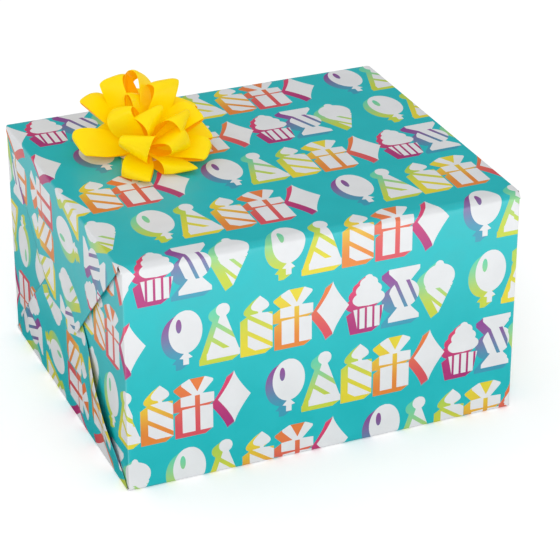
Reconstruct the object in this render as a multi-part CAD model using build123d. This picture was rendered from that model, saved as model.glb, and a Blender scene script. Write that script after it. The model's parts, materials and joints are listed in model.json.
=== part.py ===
"""A wrapped gift box with a stick-on star bow.

A sealed corrugated carton stands inside one sheet of wrapping paper. The sheet goes round
the carton as a belt and closes over each end with two side tucks, a bottom flap and a top
flap. A star bow on a card and a foam pad sits on the top near the back left corner.

Frame, in millimetres: +X along the box, -Y is the front, +Z is up, and the origin is the
centre of the face the box stands on.
"""

import math
import os

from build123d import *

# Wrapped box, over the paper
LENGTH = 260.0
DEPTH = 224.0
HEIGHT = 151.0

# Wrapping paper
PAPER = 0.2
TOP_EDGE_R = 4.0
BOTTOM_EDGE_R = 2.0
OVERHANG = 85.0          # how far the sheet reaches past each end of the box
CREASE_GAP = 0.25        # from a crease line to the edge of the panel beside it
PANEL_INSET = 0.4        # keeps an inner panel clear of the belt's walls
SEAM_OUTER_END = -62.0   # y where the outer layer of the bottom seam stops
SEAM_INNER_END = -36.0   # y where the inner layer of the bottom seam stops
SEAM_JOG = 4.0           # length over which the inner layer steps up
SEAM_GAP = 0.2           # between the two layers of the seam
FOLD_BRIDGE = 0.6        # width of the folded edge that joins a gusset to its flap

# Layers of paper over an end: distance of each outer surface in from the end of the box
TOP_FLAP_IN = 0.0
TOP_GUSSET_IN = 0.35
BOTTOM_FLAP_IN = 0.7
BOTTOM_GUSSET_IN = 1.05
TUCK_IN = 1.4

# Carton
BOARD = 3.0
CARTON_LENGTH = 256.2
CARTON_DEPTH = 222.0
CARTON_HEIGHT = 149.5
CARTON_FLOOR = 0.85      # z of the carton's underside
BOARD_GAP = 0.2          # between one board and the next
BOARD_BEND_R = 2.8       # outside of the bend between a long wall and its flap
GLUE_TAB = 32.0

# Tapes
SEAL_TAPE = 0.15
SEAL_TAPE_WIDTH = 48.0
SEAL_TAPE_LEG = 55.0
SEAL_TAPE_GAP = 0.02
STICKY_TAPE = 0.16
STICKY_TAPE_WIDTH = 12.0
SEAM_STRIP = 60.0
FLAP_STRIP = 46.0

# Star bow
BOW_X = -62.0
BOW_Y = 34.0
RIBBON = 0.5
RIBBON_WIDTH = 19.0
PAD_R = 15.0
PAD_HOLE_R = 6.0
PAD_H = 1.0
CARD_R = 17.0
CARD_H = 0.5
HUB_R = 8.0              # hub of the lowest tier
HUB_STEP = 1.2           # each higher hub is smaller by this much
HUB_H = 0.8
HUB_GAP = 0.1
STAPLE_WIRE = 0.6
STAPLE_SPAN = 6.0
STAPLE_CLEARANCE = 0.1
# Each tier of loops: name, number of loops, first loop's bearing, low and high pitch, length
TIERS = (
    ("bow_outer_loops", 9, 10.0, 4.0, 22.0, 47.0),
    ("bow_middle_loops", 8, 32.0, 28.0, 47.0, 48.0),
    ("bow_inner_loops", 5, 18.0, 53.0, 70.0, 49.0),
)
CENTRE_LOOP_R = 5.5
CENTRE_LOOP_H = 34.0
CENTRE_LOOP_WIDTH = 10.0

SIDES = {"left": -1, "right": 1}


def block(x, y, z):
    """A box between two limits on each axis."""
    size = [hi - lo for lo, hi in (x, y, z)]
    centre = [(hi + lo) / 2 for lo, hi in (x, y, z)]
    return Pos(*centre) * Box(*size)


def end_panel(points, side, inset):
    """A sheet of paper over one end, from an outline in (y, z).

    inset is how far the sheet's outer surface lies in from the end of the wrapped box.
    """
    outer = LENGTH / 2 - inset
    sheet = Plane.YZ * Polygon(*points, align=None)
    sheet = Pos(outer - PAPER, 0, 0) * extrude(sheet, amount=PAPER, dir=(1, 0, 0))
    return sheet if side > 0 else mirror(sheet, about=Plane.YZ)


def end_bridge(points, side, inset):
    """The folded edge that joins a flap to the gusset behind it, from an outline in (y, z)."""
    outer = LENGTH / 2 - inset
    depth = PAPER + TOP_GUSSET_IN - TOP_FLAP_IN
    strip = Plane.YZ * Polygon(*points, align=None)
    strip = Pos(outer - depth, 0, 0) * extrude(strip, amount=depth, dir=(1, 0, 0))
    return strip if side > 0 else mirror(strip, about=Plane.YZ)


# --- Wrapping paper ---------------------------------------------------------------------


def belt_path():
    """The belt's outer line in (y, z), from the inner end of the bottom seam, round the
    front, the top and the back, to the outer end of the seam."""
    half = DEPTH / 2
    raised = PAPER + SEAM_GAP
    top, low = TOP_EDGE_R, BOTTOM_EDGE_R
    jog_end = SEAM_OUTER_END - SEAM_JOG
    corners = [
        (SEAM_INNER_END, raised),
        (jog_end + SEAM_JOG / 2, raised),
        (jog_end - SEAM_JOG / 2, 0),
        (-half + low, 0),
        (-half, low),
        (-half, HEIGHT - top),
        (-half + top, HEIGHT),
        (half - top, HEIGHT),
        (half, HEIGHT - top),
        (half, low),
        (half - low, 0),
        (SEAM_OUTER_END, 0),
    ]
    rounds = {
        3: (-half + low, low, low),
        5: (-half + top, HEIGHT - top, top),
        7: (half - top, HEIGHT - top, top),
        9: (half - low, low, low),
    }
    return corners, rounds


def belt_line(inward):
    """Edges of the belt's line in the YZ plane, moved inward by the given amount."""
    corners, rounds = belt_path()
    middle = HEIGHT / 2
    moved = []
    for index, (y, z) in enumerate(corners):
        on_side = 4 <= index <= 5 or 8 <= index <= 9
        if on_side:
            moved.append((y - math.copysign(inward, y), z))
        else:
            moved.append((y, z + (inward if z < middle else -inward)))
    edges = []
    for index in range(len(moved) - 1):
        start, end = moved[index], moved[index + 1]
        if index in rounds:
            cy, cz, radius = rounds[index]
            reach = (radius - inward) / math.sqrt(2)
            middle_point = (
                cy + math.copysign(reach, cy),
                cz + (reach if cz > middle else -reach),
            )
            edges.append(
                ThreePointArc((0, *start), (0, *middle_point), (0, *end))
            )
        else:
            edges.append(Line((0, *start), (0, *end)))
    return edges


def paper_belt():
    """The paper round the front, the top, the back and the bottom, with its seam below."""
    outer, inner = belt_line(0), belt_line(PAPER)
    caps = [Line(outer[0] @ 0, inner[0] @ 0), Line(outer[-1] @ 1, inner[-1] @ 1)]
    section = make_face(outer + inner + caps)
    half = LENGTH / 2 - CREASE_GAP
    belt = Pos(-half, 0, 0) * extrude(section, amount=2 * half, dir=(1, 0, 0))
    # The bottom panel stops short of the plane in which the bottom flaps turn.
    reach = LENGTH / 2 - BOTTOM_FLAP_IN - CREASE_GAP
    seam_top = 2 * PAPER + SEAM_GAP + SEAM_JOG / 8
    for side in SIDES.values():
        ends = sorted((side * reach, side * (LENGTH / 2 + 1)))
        flat = DEPTH / 2 - BOTTOM_EDGE_R
        belt -= block(ends, (-flat, flat), (-1, seam_top))
    return belt


def side_tuck(side, face):
    """The sheet folded round a vertical edge onto an end. face is -1 front, 1 back."""
    edge = face * (DEPTH / 2 - CREASE_GAP)
    reach = face * (DEPTH / 2 - OVERHANG)
    low, high = CARTON_FLOOR, HEIGHT - CARTON_FLOOR
    outline = [
        (reach, low), (edge - face * BOTTOM_EDGE_R, low), (edge, low + BOTTOM_EDGE_R),
        (edge, high - TOP_EDGE_R), (edge - face * TOP_EDGE_R, high), (reach, high),
    ]
    return end_panel(outline, side, TUCK_IN)


def end_flap(side, from_top, flap_in, gusset_in, corner_r):
    """A top or bottom flap: a trapezoid with 45 degree sides, and behind it the two
    corners of the sheet, folded under along those sides."""
    def at(y, out):
        return (y, HEIGHT - out) if from_top else (y, out)

    half = DEPTH / 2 - PANEL_INSET
    tip = half - OVERHANG
    shoulder = half - corner_r
    outline = [
        at(-shoulder, CREASE_GAP), at(shoulder, CREASE_GAP), at(shoulder, corner_r),
        at(tip, OVERHANG), at(-tip, OVERHANG), at(-shoulder, corner_r),
    ]
    flap = end_panel(outline, side, flap_in)
    start = corner_r + PANEL_INSET
    for face in (-1, 1):
        corner = [
            at(face * (half - start), start),
            at(face * tip, start),
            at(face * tip, OVERHANG),
        ]
        flap += end_panel(corner, side, gusset_in)
        fold = [
            at(face * (half - start), start),
            at(face * (half - start - FOLD_BRIDGE), start),
            at(face * tip, OVERHANG - FOLD_BRIDGE),
            at(face * tip, OVERHANG),
        ]
        flap += end_bridge(fold, side, flap_in)
    return flap


def seam_tape():
    """Double-sided strips between the two layers of the bottom seam."""
    low = PAPER + (SEAM_GAP - STICKY_TAPE) / 2
    middle = (SEAM_OUTER_END + SEAM_INNER_END) / 2
    across = (middle - STICKY_TAPE_WIDTH / 2, middle + STICKY_TAPE_WIDTH / 2)
    pitch = LENGTH / 3
    strips = [
        block((x - SEAM_STRIP / 2, x + SEAM_STRIP / 2), across, (low, low + STICKY_TAPE))
        for x in (-pitch, 0, pitch)
    ]
    return Compound(children=strips)


def flap_tape(side):
    """A double-sided strip behind the lower edge of a top flap."""
    outer = LENGTH / 2 - PAPER - SEAL_TAPE_GAP
    inner = LENGTH / 2 - BOTTOM_FLAP_IN + SEAL_TAPE_GAP
    middle = HEIGHT - OVERHANG + STICKY_TAPE_WIDTH / 2 + 2
    x = sorted((side * (inner + STICKY_TAPE), side * outer))
    z = (middle - STICKY_TAPE_WIDTH / 2, middle + STICKY_TAPE_WIDTH / 2)
    return block(x, (-FLAP_STRIP / 2, FLAP_STRIP / 2), z)


# --- Carton -----------------------------------------------------------------------------


def carton_walls():
    """Four walls of one board, closed by a glued tab in the back right corner. The end
    walls are lower than the long ones by one board, to take the inner flaps."""
    half_x, half_y = CARTON_LENGTH / 2, CARTON_DEPTH / 2
    low = CARTON_FLOOR + BOARD + BOARD_GAP
    high = CARTON_FLOOR + CARTON_HEIGHT - BOARD - BOARD_GAP
    step = BOARD + BOARD_GAP
    tube = block((-half_x, half_x), (-half_y, half_y), (low, high))
    room_x, room_y = half_x - BOARD, half_y - BOARD
    tube -= block((-room_x, room_x), (-room_y, room_y), (low - 1, high + 1))
    span_y = room_y - BOARD_GAP
    for side in (-1, 1):
        x = sorted((side * (half_x + 1), side * (half_x - BOARD - 1)))
        tube -= block(x, (-room_y, room_y), (low - 1, low + step))
        tube -= block(x, (-room_y, room_y), (high - step, high + 1))
    tab = block(
        (room_x - GLUE_TAB, room_x),
        (span_y - BOARD, room_y),
        (low + 2 * step, high - 2 * step),
    )
    return tube + tab


def carton_flap(at_top, long_side, sign):
    """One closing flap. The long sides' flaps are outermost and meet in the middle; the
    ends' flaps lie one board further in and leave a gap between them."""
    half_x, half_y = CARTON_LENGTH / 2, CARTON_DEPTH / 2
    flap_depth = CARTON_DEPTH / 2 - BOARD_GAP
    if long_side:
        x = (-half_x, half_x)
        y = sorted((sign * half_y, sign * (half_y - flap_depth)))
        offset = 0
    else:
        x = sorted((sign * half_x, sign * (half_x - flap_depth)))
        y = (-half_y + BOARD + BOARD_GAP, half_y - BOARD - BOARD_GAP)
        offset = BOARD + BOARD_GAP
    if at_top:
        top = CARTON_FLOOR + CARTON_HEIGHT - offset
        z = (top - BOARD, top)
    else:
        z = (CARTON_FLOOR + offset, CARTON_FLOOR + offset + BOARD)
    flap = block(x, y, z)
    if not long_side:
        return flap
    bend = flap.edges().filter_by(Axis.X).group_by(Axis.Y)[0 if sign < 0 else -1]
    outer = bend.sort_by(Axis.Z)[-1 if at_top else 0]
    return fillet(outer, BOARD_BEND_R)


def seal_tape(at_top):
    """Packing tape along the middle seam of the carton, with a leg down each end."""
    half_x = CARTON_LENGTH / 2
    inner = half_x + SEAL_TAPE_GAP
    outer = inner + SEAL_TAPE
    across = (-SEAL_TAPE_WIDTH / 2, SEAL_TAPE_WIDTH / 2)
    if at_top:
        face = CARTON_FLOOR + CARTON_HEIGHT + SEAL_TAPE_GAP
        strip_z = (face, face + SEAL_TAPE)
        leg_z = (face - SEAL_TAPE_LEG, face + SEAL_TAPE)
    else:
        face = CARTON_FLOOR - SEAL_TAPE_GAP
        strip_z = (face - SEAL_TAPE, face)
        leg_z = (face - SEAL_TAPE, face + SEAL_TAPE_LEG)
    tape = block((-outer, outer), across, strip_z)
    for side in (-1, 1):
        tape += block(sorted((side * inner, side * outer)), across, leg_z)
    return tape


# --- Star bow ---------------------------------------------------------------------------


def bow_level(index):
    """Height of the underside of a tier's hub above the top of the box."""
    return PAD_H + CARD_H + HUB_GAP + index * (HUB_H + HUB_GAP)


def hub_radius(index):
    """Radius of a tier's hub."""
    return HUB_R - index * HUB_STEP


def staple_holes(height):
    """Clearance holes through which the staple's legs pass."""
    radius = STAPLE_WIRE / 2 + STAPLE_CLEARANCE
    return [
        Pos(0, y, 0) * Cylinder(radius, height)
        for y in (-STAPLE_SPAN / 2, STAPLE_SPAN / 2)
    ]


def hub(index):
    """The pinched middle of one tier of ribbon."""
    return Pos(0, 0, bow_level(index) + HUB_H / 2) * Cylinder(hub_radius(index), HUB_H)


def loop_section(index, low_pitch, high_pitch, length):
    """A ribbon loop seen from the side, in the XZ plane: out along the low pitch, round
    the tip, and back along the high pitch to the hub."""
    start = (hub_radius(index) - 0.3, bow_level(index) + HUB_H / 2)
    reach = length - start[0]
    shoulder = reach * 0.87

    def polar(distance, pitch):
        angle = math.radians(pitch)
        return (start[0] + distance * math.cos(angle), start[1] + distance * math.sin(angle))

    low, high = polar(shoulder, low_pitch), polar(shoulder, high_pitch)
    tip = polar(reach, (low_pitch + high_pitch) / 2)

    def in_plane(point):
        return (point[0], 0, point[1])

    outline = [
        Line(in_plane(start), in_plane(low)),
        ThreePointArc(in_plane(low), in_plane(tip), in_plane(high)),
        Line(in_plane(high), in_plane(start)),
    ]
    face = make_face(outline)
    return face - offset(face, amount=-RIBBON, kind=Kind.INTERSECTION)


def bow_tier(index):
    """One tier: a ring of loops that share the ribbon's pinched hub."""
    name, count, first, low_pitch, high_pitch, length = TIERS[index]
    band = extrude(
        loop_section(index, low_pitch, high_pitch, length),
        amount=RIBBON_WIDTH / 2, dir=(0, 1, 0), both=True,
    )
    # A loop narrows towards the hub, so that neighbours meet only there.
    half_angle = math.radians(180 / count) * 0.94
    far = 2 * length
    sector = extrude(
        Polygon((0, 0), (far, far * math.tan(half_angle)),
                (far, -far * math.tan(half_angle)), align=None),
        amount=2 * far, dir=(0, 0, 1),
    )
    petal = band & sector
    tier = hub(index)
    for step in range(count):
        tier += Rot(0, 0, first + step * 360 / count) * petal
    for hole in staple_holes(6 * far):
        tier -= hole
    return tier


def centre_loop():
    """The ring of ribbon that stands in the middle of the bow."""
    level = bow_level(len(TIERS))
    height = CENTRE_LOOP_H - level
    rise = height / 2
    outline = Ellipse(CENTRE_LOOP_R, rise) - Ellipse(CENTRE_LOOP_R - RIBBON, rise - RIBBON)
    ring = extrude(Plane.XZ * outline, amount=CENTRE_LOOP_WIDTH / 2, both=True)
    base = hub(len(TIERS))
    loop = base + Pos(0, 0, level + rise) * ring
    for hole in staple_holes(level * 4):
        loop -= hole
    return loop


def staple():
    """A wire staple: a crown over the centre loop's base, and two clinched legs."""
    wire = STAPLE_WIRE / 2
    crown = bow_level(len(TIERS)) + HUB_H + wire + 0.05
    foot = PAD_H - wire - 0.05
    half = STAPLE_SPAN / 2
    clinch = half - 2.0
    path = Polyline(
        (0, clinch, foot), (0, half, foot), (0, half, crown),
        (0, -half, crown), (0, -half, foot), (0, -clinch, foot),
    )
    section = Plane(origin=path @ 0, z_dir=path % 0) * Circle(wire)
    return sweep(section, path=path, transition=Transition.RIGHT)


def bow_card():
    """The card disc that the ribbon is stapled to."""
    disc = Pos(0, 0, PAD_H + CARD_H / 2) * Cylinder(CARD_R, CARD_H)
    for hole in staple_holes(4 * PAD_H):
        disc -= hole
    return disc


def bow_pad():
    """The foam ring, sticky on both faces, that holds the bow to the paper."""
    ring = Cylinder(PAD_R, PAD_H) - Cylinder(PAD_HOLE_R, 2 * PAD_H)
    return Pos(0, 0, PAD_H / 2) * ring


# --- Assembly ---------------------------------------------------------------------------


def bow_parts():
    """Every piece of the bow, moved to its place on the top of the box."""
    pieces = {TIERS[index][0]: bow_tier(index) for index in range(len(TIERS))}
    pieces["bow_centre_loop"] = centre_loop()
    pieces["bow_staple"] = staple()
    pieces["bow_card"] = bow_card()
    pieces["bow_foam_pad"] = bow_pad()
    place = Pos(BOW_X, BOW_Y, HEIGHT)
    return {name: place * piece for name, piece in pieces.items()}


def paper_parts():
    """The belt, and the tucks, flaps and tapes at both ends."""
    pieces = {"paper_belt": paper_belt(), "seam_tape": seam_tape()}
    for name, side in SIDES.items():
        pieces[f"{name}_front_tuck"] = side_tuck(side, -1)
        pieces[f"{name}_back_tuck"] = side_tuck(side, 1)
        pieces[f"{name}_bottom_flap"] = end_flap(
            side, False, BOTTOM_FLAP_IN, BOTTOM_GUSSET_IN, BOTTOM_EDGE_R
        )
        pieces[f"{name}_top_flap"] = end_flap(
            side, True, TOP_FLAP_IN, TOP_GUSSET_IN, TOP_EDGE_R
        )
        pieces[f"{name}_flap_tape"] = flap_tape(side)
    return pieces


def carton_parts():
    """The walls, the eight closing flaps and the two packing tapes."""
    pieces = {"carton_walls": carton_walls()}
    for level, at_top in (("top", True), ("bottom", False)):
        pieces[f"carton_{level}_front_flap"] = carton_flap(at_top, True, -1)
        pieces[f"carton_{level}_back_flap"] = carton_flap(at_top, True, 1)
        pieces[f"carton_{level}_left_flap"] = carton_flap(at_top, False, -1)
        pieces[f"carton_{level}_right_flap"] = carton_flap(at_top, False, 1)
        pieces[f"carton_{level}_tape"] = seal_tape(at_top)
    return pieces


def main():
    os.makedirs("parts", exist_ok=True)
    for name, piece in {**carton_parts(), **paper_parts(), **bow_parts()}.items():
        export_step(piece, f"parts/{name}.step")


main()
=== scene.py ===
"""The looks of a wrapped gift box with a star bow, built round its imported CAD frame."""
import json
import math

import bpy
import numpy as np
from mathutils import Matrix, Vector


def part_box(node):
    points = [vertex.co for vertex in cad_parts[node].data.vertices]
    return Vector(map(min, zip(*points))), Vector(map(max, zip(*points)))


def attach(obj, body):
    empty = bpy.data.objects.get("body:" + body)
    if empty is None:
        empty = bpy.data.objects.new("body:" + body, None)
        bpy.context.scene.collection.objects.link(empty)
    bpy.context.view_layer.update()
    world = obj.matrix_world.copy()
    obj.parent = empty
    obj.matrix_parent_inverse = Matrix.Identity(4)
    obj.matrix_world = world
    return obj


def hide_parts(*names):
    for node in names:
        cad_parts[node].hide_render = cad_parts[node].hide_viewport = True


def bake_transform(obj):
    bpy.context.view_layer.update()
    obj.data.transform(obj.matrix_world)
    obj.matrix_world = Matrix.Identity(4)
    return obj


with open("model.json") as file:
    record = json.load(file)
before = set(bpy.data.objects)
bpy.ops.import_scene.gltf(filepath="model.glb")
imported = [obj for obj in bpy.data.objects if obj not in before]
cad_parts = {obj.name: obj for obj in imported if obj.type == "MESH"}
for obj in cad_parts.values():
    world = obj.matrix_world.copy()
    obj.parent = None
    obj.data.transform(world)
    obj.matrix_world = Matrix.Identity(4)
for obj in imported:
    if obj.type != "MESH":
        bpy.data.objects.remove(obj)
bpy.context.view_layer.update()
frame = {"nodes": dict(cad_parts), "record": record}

MM = 0.001

# The wrapped box, from the frame
END_X = -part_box("left_top_flap")[0].x
SIDE_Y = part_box("paper_belt")[1].y
TOP_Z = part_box("paper_belt")[1].z
BOTTOM_FLAP_IN = END_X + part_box("left_bottom_flap")[0].x
TUCK_IN = END_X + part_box("left_front_tuck")[0].x
OVERHANG = TOP_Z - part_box("left_top_flap")[0].z

# The paper sheet
SHEET = 0.14 * MM                  # its thickness
TOP_EDGE_R = 4.0 * MM
BOTTOM_EDGE_R = 2.0 * MM
BELT_END = END_X - 5.0 * MM        # where the belt hands over to the sheets that turn onto an end
LIP_R = 1.0 * MM                   # the belt's rounded corners turn in over the ends by this much
LIP_OUT = 0.6 * MM                 # how far that lip lies outside the tucks
BELT_COLUMNS = 71
# The paper's ripples: how far each sheet stays flat from its edge, and then calms down over
EDGE_FLAT, EDGE_CALM, END_CALM = 3 * MM, 25 * MM, 30 * MM
CREASE_FLAT, FLAP_CALM = 4 * MM, 16 * MM
TUCK_FLAT, TUCK_CALM = 2 * MM, 20 * MM
SEAM_OUTER_END = -62.0 * MM
SEAM_INNER_END = -36.0 * MM
SEAM_RISE = 0.4 * MM
SEAM_JOG = 4.0 * MM                # length over which the inner layer steps up
TOP_BEND_R, BOTTOM_BEND_R, TUCK_BEND_R = 1.1 * MM, 0.8 * MM, 0.8 * MM
GUSSET_IN = 0.35 * MM              # a folded corner lies this far behind its flap
FOLD_WIDTH = 1.3 * MM              # over which the folded paper drops to that depth
FLAP_STEP = 1.5 * MM               # between the rows of points on a flap
MIDDLE_STEPS = 18                  # steps across the straight middle of half a flap
LIFT_FADE = 26 * MM                # the width over which a lifted edge settles back down
LIFT_RISE = 12 * MM                # the length over which it comes up from the crease
# The most that a flap's two folded edges stand off the paper, front (-1) and back (1)
TOP_LIFTS = {-1: 0.8 * MM, 1: 0.4 * MM}
BOTTOM_LIFTS = {-1: 3.2 * MM, 1: 1.8 * MM}
# How much the ink wears, which also paints a highlight line: along a flap's crease, a fold, a
# tuck's crease and a rounded edge
EDGE_WEAR_AND_HIGHLIGHT, FOLD_WEAR_AND_HIGHLIGHT, TUCK_WEAR_AND_HIGHLIGHT, ROUND_WEAR_AND_HIGHLIGHT = 0.2, 0.1, 0.25, 0.05

# The print, in millimetres of paper: u runs along the box, v round it from the front bottom edge
TOP_STRETCH = 0.892
ROW_PITCH = 46.8
ROW_ZERO = -14.0
ROW_SHIFTS = (157.7, 92.7, 26.9, 222.7)
CELL = 23.65
LONG_GROUP = 8
GROUP_GAP = CELL / 2
SHORT_GROUP = 5
PERIOD = (LONG_GROUP + SHORT_GROUP) * CELL + 2 * GROUP_GAP
SHAPE_HEIGHT = 36.4
SHAPE_CENTRE = 12.6
BLOCK_SHIFT = (4.8, 3.0)           # how far a shape's coloured block runs to the left and down
BLOCK_STEPS = 8

# The bow
BOW_LOW, BOW_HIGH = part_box("bow_card")
BOW_CENTRE = (BOW_LOW + BOW_HIGH) / 2
RIBBON_HALF = 9.5 * MM
RIBBON_SHEET = 0.16 * MM
BOW_TURN = -23.0                   # from +X to where the bow's bearings start, in degrees
LOOP_STEPS, WIDTH_STEPS = 44, 12   # points along and across one loop
LOOP_FULLNESS = 0.8                # below 1 a loop is fuller than an ellipse
ROOT_WIDTH, ROOT_SHARE = 0.55, 0.2     # how narrow a loop is at the hub, and for how long
TIP_CURL = 1.6 * MM                # how far the ribbon's edges draw back at the tip
REST_GAP, SETTLE = 0.5 * MM, 1.5 * MM  # clearance over the box, and where easing starts

FLUTE_WAVES = 900.0                # of the carton's board, in radians per metre

# The stage, in metres, degrees and, for the camera, millimetres of film
FLOOR_GLOW = 0.2                   # lifts the shadows on the floor
LEAST_SHEEN, FRONT_SHEEN, END_SHEEN = 0.02, 4.6, 1.0    # the floor's glow in reflections
SHEEN_DEPTH, END_SHEEN_DEPTH = 0.28, 0.12               # how far off it reaches the most
SKY, SKY_MIRRORED = 0.75, 0.16
CAMERA_PLACE = (-0.5041, -1.2290, 0.7589)
CAMERA_AZIMUTH, CAMERA_ELEVATION = -22.98, 27.63
LENS, SENSOR = 149.1, 36.0

SIDES = {"left": -1, "right": 1}


# --- Shader graphs ----------------------------------------------------------------------


class Graph:
    """Adds and links nodes. Every method takes sockets or plain values and gives a socket."""

    def __init__(self, tree):
        self.tree = tree

    def put(self, value, socket):
        if isinstance(value, bpy.types.NodeSocket):
            self.tree.links.new(value, socket)
        else:
            socket.default_value = value

    def node(self, kind, inputs=None, **settings):
        made = self.tree.nodes.new(kind)
        for key, value in settings.items():
            setattr(made, key, value)
        for key, value in (inputs or {}).items():
            self.put(value, made.inputs[key])
        return made

    def math(self, operation, *values):
        made = self.node("ShaderNodeMath", operation=operation)
        for index, value in enumerate(values):
            self.put(value, made.inputs[index])
        return made.outputs[0]

    def add(self, *values):
        total = values[0]
        for value in values[1:]:
            total = self.math("ADD", total, value)
        return total

    def times(self, *values):
        total = values[0]
        for value in values[1:]:
            total = self.math("MULTIPLY", total, value)
        return total

    def mix(self, factor, low, high):
        made = self.node("ShaderNodeMix", data_type="RGBA")
        self.put(factor, made.inputs[0])
        self.put(low, made.inputs[6])
        self.put(high, made.inputs[7])
        return made.outputs[2]

    def mix_values(self, factor, low, high):
        made = self.node("ShaderNodeMix", data_type="FLOAT")
        self.put(factor, made.inputs[0])
        self.put(low, made.inputs[2])
        self.put(high, made.inputs[3])
        return made.outputs[0]

    def span(self, value, low, high, new_low=0.0, new_high=1.0):
        """value from low..high mapped smoothly to new_low..new_high."""
        made = self.node(
            "ShaderNodeMapRange",
            {"Value": value, 1: low, 2: high, 3: new_low, 4: new_high},
            interpolation_type="SMOOTHSTEP",
        )
        return made.outputs[0]

    def noise(self, vector, scale, detail=3.0, roughness=0.55):
        made = self.node(
            "ShaderNodeTexNoise",
            {"Vector": vector, "Scale": scale, "Detail": detail, "Roughness": roughness},
        )
        return made.outputs["Fac"]

    def bump(self, height, distance, strength=1.0, normal=None):
        made = self.node(
            "ShaderNodeBump", {"Height": height, "Distance": distance, "Strength": strength}
        )
        if normal is not None:
            self.put(normal, made.inputs["Normal"])
        return made.outputs["Normal"]

    def steps(self, factor, colours):
        """One of several colours, in equal steps of a factor from 0 to 1."""
        made = self.node("ShaderNodeValToRGB", {"Fac": factor})
        made.color_ramp.interpolation = "CONSTANT"
        elements = made.color_ramp.elements
        while len(elements) < len(colours):
            elements.new(1.0)
        for index, colour in enumerate(colours):
            elements[index].position = index / len(colours)
            elements[index].color = colour
        return made.outputs["Color"]

    def pick(self, number, values):
        """The value that belongs to a whole number, from pairs; 0 for a number with none."""
        total = 0.0
        for key, value in values:
            chosen = self.math("COMPARE", number, float(key), 0.5)
            total = self.math("MULTIPLY_ADD", chosen, value, total)
        return total


def rgb(red, green, blue):
    """A display colour, 0 to 255, as a linear shader colour."""
    def linear(value):
        share = value / 255
        return share / 12.92 if share <= 0.04045 else ((share + 0.055) / 1.055) ** 2.4

    return (linear(red), linear(green), linear(blue), 1.0)


def new_material(name):
    """An empty material with its graph, its Principled shader and its object coordinates."""
    material = bpy.data.materials.new(name)
    material.use_nodes = True
    graph = Graph(material.node_tree)
    shader = material.node_tree.nodes["Principled BSDF"]
    place = graph.node("ShaderNodeTexCoord").outputs["Object"]
    return material, graph, shader, place


# --- The print --------------------------------------------------------------------------
# Each printed shape is a function: its half width at a height y above its foot, in mm.


def ellipse(y, centre, half_height, half_width):
    """Half width of an ellipse at height y."""
    share = 1 - ((y - centre) / half_height) ** 2
    return half_width * math.sqrt(share) if share > 0 else 0.0


def balloon(y):
    string = 1.8 if y < 4.5 else 0.0
    knot = max(0.0, 4.2 * (9.0 - y) / 4.5) if y >= 4.5 else 0.0
    return max(string, knot, ellipse(y, 22.0, 14.4, 10.6))


def party_hat(y):
    if y < 4.5:
        return 10.6
    return max(10.0 * max(0.0, 1 - (y - 4.5) / 29), ellipse(y, 32.0, 4.4, 4.4))


def present(y):
    if y < 16.5:
        return 9.8
    if y < 18:
        return 0.0
    if y < 25:
        return 10.7
    return min(3.0 + 0.95 * (y - 25), 10.2) if y < 34 else 10.2 - 2 * (y - 34)


def candle(y):
    if y < 24.5:
        return 8.0
    wick = 1.2 if y < 28 else 0.0
    flame = max(0.0, (y - 26) / 10.4)
    return max(wick, 5.8 * math.sin(math.pi * min(1.0, flame) ** 0.62))


def sparkle(y):
    return 10.6 * (1 - abs(y - 18.2) / 18.2) ** 1.35


def sweet(y):
    fan = abs(y - 18.2) - 7.6
    return max(ellipse(y, 18.2, 9.6, 10.2), min(3.4 + 0.9 * fan, 10.4) if fan > 0 else 0.0)


def cupcake(y):
    if y < 14:
        return 7.4 + 2.8 * y / 14
    if y < 15.2:
        return 0.0
    tiers = ((20.0, 5.6, 10.7), (25.8, 5.2, 8.6), (30.6, 4.2, 6.0), (34.0, 2.4, 2.6))
    return max(ellipse(y, *tier) for tier in tiers)


def ice_cream(y):
    wafer = 9.6 * y / 19.5 if y < 19.5 else 0.0
    return max(wafer, ellipse(y, 24.6, 9.2, 10.6), ellipse(y, 33.6, 2.8, 2.8))


SHAPES = (balloon, party_hat, candle, present, sparkle, cupcake, sweet, ice_cream)
# Cuts that show a shape's block colour through it, in mm
STRIPE_SHARE = 0.3                 # share of each cycle that a stripe takes
STRIPE_PHASE = 20.5                # cycles; keeps the phase above 0 on every shape
SHINE_CENTRE = (-4.2, 26.5)        # the highlight on a balloon
SHINE_SIZE = (1.8, 4.6)
RIBBON_CUT = (1.6, 24.5)           # a present's ribbon: half width, and height of its top
NOTCH_FOOT, NOTCH_SLOPE = 27.0, 0.5
# Stripes on some shapes: cycles per mm across and up, and the heights they run between
STRIPES = {
    party_hat: (0.07, 0.085, 6.0, 27.0),
    candle: (0.062, 0.09, 0.0, 24.5),
    cupcake: (0.2, 0.0, 0.0, 14.0),
    sweet: (0.12, 0.05, 9.0, 27.4),
    ice_cream: (0.1, 0.1, 0.0, 17.5),
}
BLOCK_TOPS = (
    rgb(96, 202, 166), rgb(170, 202, 78), rgb(222, 206, 52), rgb(224, 122, 58),
    rgb(214, 62, 104), rgb(140, 64, 142),
)
BLOCK_FEET = (
    rgb(190, 204, 62), rgb(220, 206, 50), rgb(222, 130, 52), rgb(210, 78, 90),
    rgb(168, 46, 116), rgb(56, 150, 176),
)
BLOCK_ORDER = (5, 0, 1, 2, 3, 4, 5, 0) + (0, 1, 2, 3, 4)    # by cell: long group, short group
FADE_MARGIN = 2.0                  # a block keeps its foot and top colours for this many mm
TEAL = rgb(20, 181, 187)
INK_WHITE = rgb(222, 224, 226)
PAPER_WHITE = rgb(238, 238, 234)
PROFILE_SAMPLES = 72               # points along the outline of one printed shape


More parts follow.
